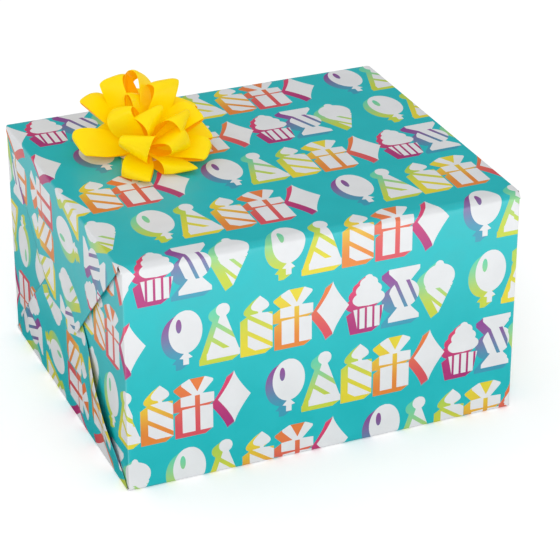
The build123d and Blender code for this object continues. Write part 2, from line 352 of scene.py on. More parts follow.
def profile_curve(graph, height, half_width):
    """The half width of one shape at a height, as a curve node."""
    made = graph.node("ShaderNodeFloatCurve", {"Value": height})
    curve = made.mapping.curves[0]
    made.mapping.use_clip = False
    for index in range(PROFILE_SAMPLES + 1):
        at = index / PROFILE_SAMPLES
        width = half_width(min(at * SHAPE_HEIGHT, SHAPE_HEIGHT - 1e-6)) / SHAPE_HEIGHT
        if index == 0:
            curve.points[0].location = (at, width)
        elif index == PROFILE_SAMPLES:
            curve.points[-1].location = (at, width)
        else:
            curve.points.new(at, width)
    for point in curve.points:
        point.handle_type = "VECTOR"
    made.mapping.update()
    return made.outputs[0]


def row_cell(graph, along):
    """The cell of a row that a place falls in, its place across that cell from the middle of
    the shape, and 1 where the cell holds a shape, or 0 in a gap."""
    along = graph.math("FLOORED_MODULO", along, PERIOD)
    gap_middle = LONG_GROUP * CELL + GROUP_GAP / 2
    second = graph.math("GREATER_THAN", along, gap_middle)
    in_gap = graph.math("COMPARE", along, gap_middle, GROUP_GAP / 2)
    packed = graph.math("MULTIPLY_ADD", second, -GROUP_GAP, along)
    cell = graph.math("FLOOR", graph.math("DIVIDE", packed, CELL))
    x = graph.add(packed, graph.times(cell, -CELL), -SHAPE_CENTRE)
    drawn = graph.times(
        graph.math("SUBTRACT", 1.0, in_gap),
        graph.math("LESS_THAN", cell, LONG_GROUP + SHORT_GROUP - 0.5),
    )
    return cell, x, drawn


def shape_group():
    """A node group: at Along and Y millimetres of a row, the number of the cell whose shape
    covers that place, counted from 1, or 0 outside every shape."""
    tree = bpy.data.node_groups.new("printed_shape", "ShaderNodeTree")
    for name in ("Along", "Y"):
        tree.interface.new_socket(name, in_out="INPUT", socket_type="NodeSocketFloat")
    tree.interface.new_socket("Cell", in_out="OUTPUT", socket_type="NodeSocketFloat")
    graph = Graph(tree)
    given = graph.node("NodeGroupInput").outputs
    cell, x, drawn = row_cell(graph, given["Along"])
    kind = graph.math("FLOORED_MODULO", cell, float(len(SHAPES)))
    height = graph.math("DIVIDE", given["Y"], SHAPE_HEIGHT)
    widths = [profile_curve(graph, height, half_width) for half_width in SHAPES]
    reach = graph.pick(kind, enumerate(widths))
    reach = graph.times(reach, SHAPE_HEIGHT)
    within = graph.math("COMPARE", given["Y"], SHAPE_HEIGHT / 2, SHAPE_HEIGHT / 2)
    narrow = graph.math("LESS_THAN", graph.math("ABSOLUTE", x), reach)
    inside = graph.times(within, narrow, drawn)
    result = graph.node("NodeGroupOutput")
    graph.put(graph.times(inside, graph.add(cell, 1.0)), result.inputs["Cell"])
    return tree


def cut_mask(graph, x, y, kind):
    """The stripes, slits and highlights that show a shape's block colour through it."""
    across, up, low, high = (
        graph.pick(kind, [(SHAPES.index(shape), row[column]) for shape, row in STRIPES.items()])
        for column in range(4)
    )
    phase = graph.add(graph.times(x, across), graph.times(y, up), STRIPE_PHASE)
    stripe = graph.math("LESS_THAN", graph.math("FRACT", phase), STRIPE_SHARE)
    stripe = graph.times(
        stripe, graph.math("GREATER_THAN", y, low), graph.math("LESS_THAN", y, high)
    )
    shine_x = graph.math("DIVIDE", graph.add(x, -SHINE_CENTRE[0]), SHINE_SIZE[0])
    shine_y = graph.math("DIVIDE", graph.add(y, -SHINE_CENTRE[1]), SHINE_SIZE[1])
    shine = graph.add(graph.times(shine_x, shine_x), graph.times(shine_y, shine_y))
    shine = graph.math("LESS_THAN", shine, 1.0)
    away = graph.math("ABSOLUTE", x)
    notch = graph.times(graph.add(y, -NOTCH_FOOT), NOTCH_SLOPE)
    slit = graph.math("LESS_THAN", away, graph.math("MAXIMUM", notch, 0.0))
    half_ribbon, ribbon_top = RIBBON_CUT
    ribbon = graph.times(
        graph.math("LESS_THAN", away, half_ribbon), graph.math("LESS_THAN", y, ribbon_top)
    )
    slit = graph.math("MAXIMUM", slit, ribbon)
    single = graph.pick(kind, [(SHAPES.index(balloon), shine), (SHAPES.index(present), slit)])
    return graph.math("MAXIMUM", stripe, single)


def print_colour(graph):
    """The printed colour of the paper from its u, v coordinates."""
    paper = graph.node("ShaderNodeUVMap", uv_map="paper").outputs["UV"]
    split = graph.node("ShaderNodeSeparateXYZ", {0: paper}).outputs
    u, v = split["X"], split["Y"]
    margin = BLOCK_SHIFT[1]
    row = graph.math("FLOOR", graph.math("DIVIDE", graph.add(v, margin - ROW_ZERO), ROW_PITCH))
    y = graph.add(v, -ROW_ZERO, graph.times(row, -ROW_PITCH))
    cycle = graph.math("FLOORED_MODULO", row, float(len(ROW_SHIFTS)))
    along = graph.math("SUBTRACT", u, graph.pick(cycle, enumerate(ROW_SHIFTS)))
    group = shape_group()

    def shape_cell(share):
        made = graph.node("ShaderNodeGroup", node_tree=group)
        graph.put(graph.add(along, share * BLOCK_SHIFT[0]), made.inputs["Along"])
        graph.put(graph.add(y, share * BLOCK_SHIFT[1]), made.inputs["Y"])
        return made.outputs["Cell"]

    face = shape_cell(0.0)
    block = face
    for step in range(1, BLOCK_STEPS + 1):
        block = graph.math("MAXIMUM", block, shape_cell(step / BLOCK_STEPS))
    cell, x, _ = row_cell(graph, along)
    kind = graph.math("FLOORED_MODULO", cell, float(len(SHAPES)))
    cut = cut_mask(graph, x, y, kind)
    on_face = graph.math("GREATER_THAN", face, 0.5)
    white = graph.times(on_face, graph.math("SUBTRACT", 1.0, cut))
    colour_cell = graph.mix_values(on_face, block, face)
    place = graph.math("DIVIDE", graph.add(colour_cell, -0.5), float(len(BLOCK_ORDER)))
    tops = graph.steps(place, [BLOCK_TOPS[index] for index in BLOCK_ORDER])
    feet = graph.steps(place, [BLOCK_FEET[index] for index in BLOCK_ORDER])
    rise = graph.span(y, FADE_MARGIN, SHAPE_HEIGHT - FADE_MARGIN)
    block_colour = graph.mix(rise, feet, tops)
    colour = graph.mix(graph.math("GREATER_THAN", block, 0.5), TEAL, block_colour)
    return graph.mix(white, colour, INK_WHITE)


def printed_paper():
    """The outside of the wrapping paper: gloss ink on paper, cracked to white on its creases,
    which is partly ink wear and partly a painted highlight along the folds.
    """
    material, graph, shader, place = new_material("wrapping_paper_print")
    ink = print_colour(graph)
    mottle = graph.noise(place, 60.0, 4.0)
    ink_tone = graph.node(
        "ShaderNodeHueSaturation",
        {"Color": ink, "Value": graph.span(mottle, 0.3, 0.7, 0.975, 1.02)},
    ).outputs[0]
    crease = graph.node("ShaderNodeAttribute", attribute_name="crease").outputs["Fac"]
    crack_and_highlight = graph.noise(place, 3200.0, 3.0, 0.7)
    crack_and_highlight = graph.times(graph.span(crack_and_highlight, 0.4, 0.6, 0.15, 0.6), crease)
    fibre = graph.noise(place, 2600.0, 2.0)
    wave = graph.noise(place, 34.0, 2.0, 0.4)
    normal = graph.bump(wave, 0.35 * MM, 0.6)
    normal = graph.bump(fibre, 0.012 * MM, 0.5, normal)
    # Paper white along the creases: partly cracked ink, partly a painted highlight on the folds
    graph.put(graph.mix(crack_and_highlight, ink_tone, PAPER_WHITE), shader.inputs["Base Color"])
    rough = graph.span(mottle, 0.25, 0.75, 0.3, 0.38)
    graph.put(graph.add(rough, graph.times(crack_and_highlight, 0.3)), shader.inputs["Roughness"])
    shader.inputs["IOR"].default_value = 1.4
    graph.put(normal, shader.inputs["Normal"])
    return material


def plain_paper():
    """The unprinted reverse of the wrapping paper."""
    material, graph, shader, place = new_material("wrapping_paper_reverse")
    cloud = graph.noise(place, 140.0, 5.0, 0.6)
    tint = graph.mix(graph.span(cloud, 0.3, 0.7), rgb(226, 225, 219), PAPER_WHITE)
    fibre = graph.noise(place, 2200.0, 3.0, 0.7)
    graph.put(tint, shader.inputs["Base Color"])
    graph.put(graph.span(cloud, 0.3, 0.7, 0.62, 0.74), shader.inputs["Roughness"])
    graph.put(graph.bump(fibre, 0.03 * MM, 0.6), shader.inputs["Normal"])
    return material


def ribbon_material(name, low, high, line):
    """Satin polypropylene ribbon: drawn lines along its length, light that comes through, and a
    faint painted glow from its own colour.
    """
    material, graph, shader, place = new_material(name)
    strip = graph.node("ShaderNodeUVMap", uv_map="ribbon").outputs["UV"]
    drawn = graph.node("ShaderNodeMapping", {"Vector": strip, "Scale": (0.02, 1.6, 1.0)})
    lines = graph.noise(drawn.outputs[0], 3.0, 3.0, 0.6)
    cloud = graph.noise(place, 90.0, 3.0)
    tone = graph.mix(graph.span(cloud, 0.3, 0.7), low, high)
    tone = graph.mix(graph.span(lines, 0.35, 0.65, 0.0, 0.2), tone, line)
    graph.put(tone, shader.inputs["Base Color"])
    graph.put(graph.span(lines, 0.3, 0.7, 0.34, 0.46), shader.inputs["Roughness"])
    shader.inputs["Specular IOR Level"].default_value = 0.3
    graph.put(graph.bump(lines, 0.02 * MM, 0.5), shader.inputs["Normal"])
    through = graph.node("ShaderNodeBsdfTranslucent", {"Color": rgb(255, 224, 0)})
    # Painted glow: the ribbon's own colour as a weak emission, to brighten it
    graph.put(tone, shader.inputs["Emission Color"])
    shader.inputs["Emission Strength"].default_value = 0.12
    both = graph.node("ShaderNodeMixShader", {0: 0.28})
    graph.put(shader.outputs[0], both.inputs[1])
    graph.put(through.outputs[0], both.inputs[2])
    output = material.node_tree.nodes["Material Output"]
    graph.put(both.outputs[0], output.inputs["Surface"])
    return material


def corrugated_board():
    """Kraft liner over flutes: brown fibre, and faint lines where the flutes are glued."""
    material, graph, shader, place = new_material("corrugated_board")
    split = graph.node("ShaderNodeSeparateXYZ", {0: place}).outputs
    flute = graph.math("SINE", graph.times(graph.add(split["X"], split["Y"]), FLUTE_WAVES))
    fibre = graph.noise(place, 700.0, 5.0, 0.7)
    cloud = graph.noise(place, 60.0, 4.0)
    tone = graph.mix(graph.span(fibre, 0.3, 0.7), rgb(164, 124, 82), rgb(196, 156, 110))
    tone = graph.mix(graph.span(cloud, 0.35, 0.65, 0.0, 0.4), tone, rgb(182, 138, 92))
    graph.put(tone, shader.inputs["Base Color"])
    graph.put(graph.span(fibre, 0.2, 0.8, 0.7, 0.86), shader.inputs["Roughness"])
    normal = graph.bump(flute, 0.06 * MM, 0.5)
    graph.put(graph.bump(fibre, 0.05 * MM, 0.5, normal), shader.inputs["Normal"])
    return material


def film_tape(name, light, dark, roughness):
    """Plastic tape: smooth film with streaks and small trapped bubbles."""
    material, graph, shader, place = new_material(name)
    stretched = graph.node("ShaderNodeMapping", {"Vector": place, "Scale": (1.0, 14.0, 1.0)})
    streak = graph.noise(stretched.outputs[0], 30.0, 3.0)
    bubble = graph.noise(place, 420.0, 2.0)
    graph.put(graph.mix(graph.span(streak, 0.3, 0.7), dark, light), shader.inputs["Base Color"])
    rough = graph.span(bubble, 0.45, 0.7, roughness, roughness + 0.2)
    graph.put(rough, shader.inputs["Roughness"])
    graph.put(graph.bump(bubble, 0.03 * MM, 0.4), shader.inputs["Normal"])
    return material


def mottled(name, light, dark, scale, roughness, depth, metallic=0.0):
    """A material whose colour, roughness and surface all vary with one grain."""
    material, graph, shader, place = new_material(name)
    grain = graph.noise(place, scale, 4.0, 0.6)
    graph.put(graph.mix(graph.span(grain, 0.3, 0.7), dark, light), shader.inputs["Base Color"])
    rough = graph.span(grain, 0.25, 0.75, roughness - 0.08, roughness + 0.08)
    graph.put(rough, shader.inputs["Roughness"])
    shader.inputs["Metallic"].default_value = metallic
    graph.put(graph.bump(grain, depth, 0.6), shader.inputs["Normal"])
    return material


PRINT = printed_paper()
REVERSE = plain_paper()
RIBBON = ribbon_material(
    "bow_ribbon", rgb(255, 240, 0), rgb(255, 246, 0), rgb(250, 230, 0))
# The reverse, the inside of the loops, is painted a deeper orange: painted shade for the light
# that bounces inside them
RIBBON_REVERSE_SHADED = ribbon_material(
    "bow_ribbon_reverse_painted_shade", rgb(255, 200, 0), rgb(255, 206, 0), rgb(250, 190, 0))


# --- Thin sheets ------------------------------------------------------------------------


def smooth(value):
    """0 below 0, 1 above 1 and a smooth step between."""
    share = np.clip(value, 0.0, 1.0)
    return share * share * (3 - 2 * share)


def grid_faces(rows, columns, keep=None):
    """Quads over a grid of points numbered row by row."""
    faces = []
    for row in range(rows - 1):
        for column in range(columns - 1):
            if keep is not None and not keep(row, column):
                continue
            first = row * columns + column
            faces.append((first, first + 1, first + columns + 1, first + columns))
    return faces


def face_normal(points, face):
    """A face's normal, as long as twice its area."""
    a, b, c, d = (points[face[index]] for index in (0, 1, 2, -1))
    return np.cross(b - a, c - a) + np.cross(c - a, d - a)


def point_normals(points, faces):
    """A unit normal at each point, from the faces round it."""
    normals = np.zeros((len(points), 3))
    for face in faces:
        across = face_normal(points, face)
        for index in face:
            normals[index] += across
    return normals / np.maximum(np.linalg.norm(normals, axis=1), 1e-15)[:, None]


def open_edges(faces):
    """The directed edges, as pairs of points, that only one face has."""
    directed = dict.fromkeys(
        edge for face in faces for edge in zip(face, face[1:] + face[:1])
    )
    return [(start, end) for start, end in directed if (end, start) not in directed]


def thick_sheet(name, points, faces, uv_name, uv, thickness, outside, inside, up=None,
                crease=None):
    """A closed thin sheet. points lie on its outside; up is the outward direction of its
    first face, where the faces may be the wrong way round; crease is a share per point for
    the ink wear on the edge of a fold, which also carries a painted highlight."""
    used = sorted({index for face in faces for index in face})
    renumber = {old: new for new, old in enumerate(used)}
    faces = [tuple(renumber[index] for index in face) for face in faces]
    points = np.asarray(points, float)[used]
    uv = np.asarray(uv, float)[used]
    crease = np.zeros(len(used)) if crease is None else np.asarray(crease, float)[used]
    count = len(points)
    if up is not None and np.dot(face_normal(points, faces[0]), up) < 0:
        faces = [tuple(reversed(face)) for face in faces]
    border = open_edges(faces)
    rim = [(end, start, start + count, end + count) for start, end in border]
    back = [tuple(index + count for index in reversed(face)) for face in faces]
    mesh = bpy.data.meshes.new(name)
    every = np.vstack([points, points - point_normals(points, faces) * thickness])
    mesh.from_pydata(every.tolist(), [], faces + back + rim)
    mesh.materials.append(outside)
    mesh.materials.append(inside)
    kinds = np.zeros(len(mesh.polygons), np.int32)
    kinds[len(faces):] = 1
    mesh.polygons.foreach_set("material_index", kinds)
    mesh.polygons.foreach_set("use_smooth", np.ones(len(mesh.polygons), bool))
    layer = mesh.uv_layers.new(name=uv_name)
    corners = np.zeros(len(mesh.loops), np.int32)
    mesh.loops.foreach_get("vertex_index", corners)
    layer.data.foreach_set("uv", np.vstack([uv, uv])[corners].astype(np.float32).ravel())
    wear_and_highlight = mesh.attributes.new("crease", "FLOAT", "POINT")
    wear_and_highlight.data.foreach_set("value", np.tile(crease, 2).astype(np.float32))
    sharp = {
        frozenset((start + side, end + side)) for start, end in border for side in (0, count)
    }
    for edge in mesh.edges:
        if frozenset(edge.vertices) in sharp:
            edge.use_edge_sharp = True
    mesh.validate()
    mesh.update()
    made = bpy.data.objects.new(name, mesh)
    bpy.context.scene.collection.objects.link(made)
    return made


# --- Wrapping paper ---------------------------------------------------------------------


def panel_ripple(along, across, phase):
    """The small hollows and swells of a taut sheet, in metres, from two places on it."""
    first = np.sin(along * 31.0 + phase) * np.sin(across * 27.0 + 1.3 * phase)
    second = np.sin(along * 13.0 - across * 17.0 + 2.1 * phase)
    return (0.16 * first + 0.2 * second) * MM


def belt_outline():
    """Points round the belt in (y, z), with their outward normals, paper v in mm, and
    whether each lies on a rounded edge. It starts at the inner end of the bottom seam."""
    rows = []

    def straight(start, end, normal, v_start, v_end, count, skip_first=True):
        for index in range(1 if skip_first else 0, count + 1):
            share = index / count
            y = start[0] + (end[0] - start[0]) * share
            z = start[1] + (end[1] - start[1]) * share
            rows.append((y, z, *normal, v_start + (v_end - v_start) * share, 0))

    def turn(centre, radius, angle, v_start, v_end, count):
        rows[-1] = rows[-1][:5] + (1,)
        for index in range(1, count + 1):
            share = index / count
            bearing = math.radians(angle - 90 * share)
            out = (math.cos(bearing), math.sin(bearing))
            rows.append((
                centre[0] + radius * out[0], centre[1] + radius * out[1], *out,
                v_start + (v_end - v_start) * share, 1 if index < count else 0,
            ))

    high, low = TOP_EDGE_R, BOTTOM_EDGE_R
    front, back = -SIDE_Y, SIDE_Y
    box_v, top_v = TOP_Z / MM, 2 * SIDE_Y / MM * TOP_STRETCH
    seam = SEAM_OUTER_END - SEAM_JOG
    bottom = (0.0, -1.0)
    inner_v = (front - SEAM_INNER_END) / MM
    straight((SEAM_INNER_END, SEAM_RISE), (SEAM_OUTER_END, SEAM_RISE), bottom,
             inner_v, (front - SEAM_OUTER_END) / MM, 4, skip_first=False)
    straight((SEAM_OUTER_END, SEAM_RISE), (seam, 0), bottom,
             (front - SEAM_OUTER_END) / MM, (front - seam) / MM, 4)
    straight((seam, 0), (front + low, 0), bottom, (front - seam) / MM, -low / MM, 8)
    turn((front + low, low), low, 270, -low / MM, low / MM, 5)
    straight((front, low), (front, TOP_Z - high), (-1.0, 0.0),
             low / MM, box_v - high / MM, 44)
    turn((front + high, TOP_Z - high), high, 180,
         box_v - high / MM, box_v + high / MM * TOP_STRETCH, 7)
    straight((front + high, TOP_Z), (back - high, TOP_Z), (0.0, 1.0),
             box_v + high / MM * TOP_STRETCH, box_v + top_v - high / MM * TOP_STRETCH, 60)
    turn((back - high, TOP_Z - high), high, 90,
         box_v + top_v - high / MM * TOP_STRETCH, box_v + top_v + high / MM, 7)
    straight((back, TOP_Z - high), (back, low), (1.0, 0.0),
             box_v + top_v + high / MM, 2 * box_v + top_v - low / MM, 44)
    turn((back - low, low), low, 0,
         2 * box_v + top_v - low / MM, 2 * box_v + top_v + low / MM, 5)
    straight((back - low, 0), (SEAM_OUTER_END, 0), bottom,
             2 * box_v + top_v + low / MM, 2 * box_v + top_v + (back - SEAM_OUTER_END) / MM, 40)
    return rows


def paper_belt():
    """The paper round the front, top, back and bottom, with rounded corners that turn in
    a little over the ends."""
    outline = belt_outline()
    inner = np.linspace(-BELT_END, BELT_END, BELT_COLUMNS)
    turn = np.radians(np.linspace(0, 80, 5))
    lip_start = END_X - TUCK_IN - LIP_R + LIP_OUT
    lip = [(lip_start + LIP_R * math.sin(a), LIP_R * (1 - math.cos(a))) for a in turn]
    columns = [(-x, drop) for x, drop in reversed(lip)]
    columns += [(x, 0.0) for x in inner]
    columns += lip
    points, uv, crease = [], [], []
    for y, z, out_y, out_z, v, rounded in outline:
        for x, drop in columns:
            fade = float(smooth((BELT_END - abs(x)) / END_CALM))
            flat = min(TOP_Z - z, z) if abs(out_y) > 0.9 else SIDE_Y - abs(y)
            fade *= float(smooth((flat - EDGE_FLAT) / EDGE_CALM))
            place = z if abs(out_y) > 0.9 else y
            swell = panel_ripple(x, place, 2.0 * out_y + out_z) * fade
            if out_z < -0.9:
                swell = 0.0
            points.append((x, y + out_y * (swell - drop), z + out_z * (swell - drop)))
            uv.append(((x + END_X) / MM, v))
            # Rounded edges get a little ink wear, which also paints a faint highlight there
            crease.append(ROUND_WEAR_AND_HIGHLIGHT if rounded else 0.0)
    width = len(columns)
    edge = len(lip)

    def keep(row, column):
        flat_part = edge <= column < width - edge - 1
        return flat_part or outline[row][5] == 1

    return thick_sheet("belt_sheet", points, grid_faces(len(outline), width, keep), "paper",
                       uv, SHEET, PRINT, REVERSE, (0, 0, -1), crease)


def bend(distance, radius):
    """A sheet that turns a right angle at distance 0: how far in from the new face it is,
    and how far down that face it has gone."""
    if distance <= -radius:
        return -distance, 0.0
    if distance < radius:
        angle = (distance + radius) / (2 * radius) * math.pi / 2
        return radius * (1 - math.sin(angle)), radius * (1 - math.cos(angle))
    return 0.0, distance


def bend_rows(start, radius, end):
    """Distances for the rows of a sheet up to and round its bend."""
    rows = list(np.linspace(start, -radius, 3)[:-1])
    rows += list(np.linspace(-radius, radius, 7))
    rows += list(np.linspace(radius, end, 4)[1:])
    return rows


def fold_under(a, s, low, high, lift_at):
    """Folds the corner of a flap under along its 45 degree line.

    a is the distance from the flap's side and s from its crease; where a < s the paper lies
    behind the flap. Gives the folded a and s, and the distance behind the flap's plane.
    """
    middle = (a + s) / 2
    past = (s - a) / math.sqrt(2)
    inward = abs(past) / math.sqrt(2)
    depth = GUSSET_IN * float(smooth(past / FOLD_WIDTH))
    fade = LIFT_FADE if past < 0 else LIFT_FADE / 2
    lift = lift_at((middle - low) / (high - low)) * float(1 - smooth(abs(past) / fade))
    down = middle - inward
    return middle + inward, down, depth - lift * float(smooth((down - low) / LIFT_RISE))


def flap_faces(row_count, width, first_shared):
    """Faces of a flap's grid. Where a fold line crosses a quad from corner to corner, the
    quad is cut along it. The fold lines start at the grid's two sides in row first_shared."""
    faces = []
    for row in range(row_count - 1):
        for column in range(width - 1):
            here = row * width + column
            a, b, c, d = here, here + 1, here + width + 1, here + width
            from_fold = row - first_shared
            if from_fold >= 0 and column == from_fold:
                faces += [(a, b, c), (a, c, d)]
            elif from_fold >= 0 and width - 2 - column == from_fold:
                faces += [(a, b, d), (b, c, d)]
            else:
                faces.append((a, b, c, d))
    return faces


def fold_lift(from_top, face):
    """How far the folded edge of a flap stands off the paper under it, at a share of the
    edge's length."""
    if from_top:
        return lambda t: TOP_LIFTS[face] * float(smooth(t / 0.5))
    return lambda t: BOTTOM_LIFTS[face] * float(smooth(t / 0.4) * smooth((0.86 - t) / 0.36))


def end_flap(name, side, from_top):
    """A top or bottom flap of one end with its two corners folded under it."""
    plane = END_X - (0.0 if from_top else BOTTOM_FLAP_IN)
    radius = TOP_BEND_R if from_top else BOTTOM_BEND_R
    corner = TOP_EDGE_R if from_top else BOTTOM_EDGE_R
    lifts = {face: fold_lift(from_top, face) for face in (-1, 1)}
    steps = int(round((OVERHANG - corner) / FLAP_STEP))
    shared = [corner + (OVERHANG - corner) * i / steps for i in range(steps + 1)]
    rows = bend_rows(BELT_END - plane, radius, corner) + shared[1:]
    first_shared = len(rows) - len(shared)
    middle_step = (SIDE_Y - OVERHANG) / MIDDLE_STEPS
    half = shared + [OVERHANG + middle_step * i for i in range(1, MIDDLE_STEPS + 1)]
    columns = [(-1, a) for a in half] + [(1, a) for a in reversed(half[:-1])]
    points, uv, crease = [], [], []
    for s in rows:
        for face, a in columns:
            inward, down = bend(s, radius)
            new_a, depth = a, 0.0
            # Ink wear along the crease and the fold, which also paints a highlight line on them
            wear_and_highlight = EDGE_WEAR_AND_HIGHLIGHT * float(smooth(1 - abs(s) / (1.2 * MM)))
            if s >= corner:
                new_a, down, depth = fold_under(a, s, corner, OVERHANG, lifts[face])
                if s < a:
                    fade = float(smooth((down - CREASE_FLAT) / FLAP_CALM))
                    depth -= abs(panel_ripple(down, a * face, 1.0 + side)) * fade
                wear_and_highlight += FOLD_WEAR_AND_HIGHLIGHT * float(smooth(1 - abs(s - a) / (4 * MM)))
            x = side * (plane - inward - depth)
            y = face * (SIDE_Y - new_a)
            z = TOP_Z - down if from_top else down
            points.append((x, y, z))
            unfolded = face * (SIDE_Y - a)
            if from_top:
                v = TOP_Z / MM + TOP_STRETCH * (unfolded + SIDE_Y) / MM
            else:
                v = -(unfolded + SIDE_Y) / MM
            box_u = -s / MM if side < 0 else (2 * END_X + s) / MM
            uv.append((box_u, v))
            crease.append(wear_and_highlight)
    faces = flap_faces(len(rows), len(columns), first_shared)
    up = (0, 0, 1) if from_top else (0, 0, -1)
    return thick_sheet(name, points, faces, "paper", uv, SHEET, PRINT, REVERSE, up, crease)


def side_tuck(name, side, face):
    """The paper that turns round a vertical edge and lies on the end, under the flaps."""
    plane = END_X - TUCK_IN
    flat = 4 * MM
    rows = bend_rows(BELT_END - plane, TUCK_BEND_R, flat)
    rows += list(np.linspace(flat, OVERHANG, 40)[1:])
    heights = np.linspace(BOTTOM_EDGE_R, TOP_Z - TOP_EDGE_R, 60)
    points, uv, crease = [], [], []
    for e in rows:
        for z in heights:
            inward, across = bend(e, TUCK_BEND_R)
            fade = float(smooth((across - TUCK_FLAT) / TUCK_CALM))
            sink = abs(panel_ripple(across, z, 2.0 + face)) * fade * 0.5
            points.append((side * (plane - inward + sink), face * (SIDE_Y - across), z))
            if face < 0:
                v = z / MM
            else:
                v = 2 * TOP_Z / MM + 2 * SIDE_Y * TOP_STRETCH / MM - z / MM
            uv.append((-e / MM if side < 0 else (2 * END_X + e) / MM, v))
            # Ink wear along the tuck's bend, which also paints a highlight line there
            crease.append(TUCK_WEAR_AND_HIGHLIGHT * float(smooth(1 - abs(e) / (1.0 * MM))))
    faces = grid_faces(len(rows), len(heights))
    return thick_sheet(name, points, faces, "paper", uv, SHEET, PRINT, REVERSE,
                       (0, face, 0), crease)


def wrap_paper():
    """All the paper, each piece standing for its CAD node; the belt and the tucks go on the box's
    body.
    """
    belt = paper_belt()
    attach(belt, "box")
    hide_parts("paper_belt")
    for name, side in SIDES.items():
        for place, face in (("front", -1), ("back", 1)):
            tuck = side_tuck(f"{name}_{place}_tuck_sheet", side, face)
            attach(tuck, "box")
            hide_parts(f"{name}_{place}_tuck")
        for place, from_top in (("top", True), ("bottom", False)):
            flap = end_flap(f"{name}_{place}_flap_sheet", side, from_top)
            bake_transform(flap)
            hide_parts(f"{name}_{place}_flap")


# --- Star bow ---------------------------------------------------------------------------


def settled(z):
    """A height on the bow, eased so that ribbon pressed down on the box stays above it."""
    contact = TOP_Z + REST_GAP + SETTLE
    if z >= contact:
        return z
    return contact - SETTLE + SETTLE * math.exp((z - contact) / SETTLE)


def petal(bearing, pitch, length, opening=4.8, roll=0.0, slant=14.0, twist=8.0, level=3.0,
          pinch=0.35):
    """One loop of ribbon: its points, faces and ribbon coordinates.

    It leaves the hub, turns over a slanted tip so that one corner is drawn out and one side
    stands open, and comes back. bearing (from BOW_TURN), pitch, roll, slant and
    twist are in degrees; length, opening (half the loop's height) and level (the hub's
    height above the box) in mm; pinch is how much more one side closes than the other.
    """
    turn = math.radians(bearing + BOW_TURN)
    rise = math.radians(pitch)
    radial = np.array([math.cos(turn), math.sin(turn), 0.0])
    side_way = np.array([-math.sin(turn), math.cos(turn), 0.0])
    up = np.array([0.0, 0.0, 1.0])
    along = math.cos(rise) * radial + math.sin(rise) * up
    above = -math.sin(rise) * radial + math.cos(rise) * up
    base = np.array([BOW_CENTRE.x, BOW_CENTRE.y, TOP_Z + level * MM])
    points, uv = [], []
    for i in range(LOOP_STEPS + 1):
        share = i / LOOP_STEPS
        wide = ROOT_WIDTH + (1 - ROOT_WIDTH) * float(smooth(min(share, 1 - share) / ROOT_SHARE))
        reach = abs(math.sin(math.pi * share)) ** LOOP_FULLNESS
        wave = math.sin(2 * math.pi * share)
        lift = -math.copysign(abs(wave) ** LOOP_FULLNESS, wave) / 2
        tilt = math.radians(roll + twist * (1 - 2 * share))
        across = side_way * math.cos(tilt) + above * math.sin(tilt)
        outward = -side_way * math.sin(tilt) + above * math.cos(tilt)
        for j in range(WIDTH_STEPS + 1):
            w = 2 * j / WIDTH_STEPS - 1
            out = length * MM + math.tan(math.radians(slant)) * RIBBON_HALF * w * reach
            out -= TIP_CURL * w ** 4
            high = 2 * opening * MM * (1 - pinch * w)
            sideways = w * RIBBON_HALF * wide
            point = base + along * out * reach + across * sideways + outward * high * lift
            point[2] = settled(point[2])
            points.append(point)
            uv.append((share * 2 * length, w * RIBBON_HALF / MM))
    return points, grid_faces(LOOP_STEPS + 1, WIDTH_STEPS + 1), uv


def petal_tier(name, node, petals):
    """One tier of the bow from a list of petals."""
    points, faces, uv = [], [], []
    for values in petals:
        more_points, more_faces, more_uv = petal(**values)
        offset = len(points)
        points += more_points
        faces += [tuple(index + offset for index in face) for face in more_faces]
        uv += more_uv
    tier = thick_sheet(name, points, faces, "ribbon", uv, RIBBON_SHEET, RIBBON,
                       RIBBON_REVERSE_SHADED)
    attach(tier, "bow")
    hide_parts(node)


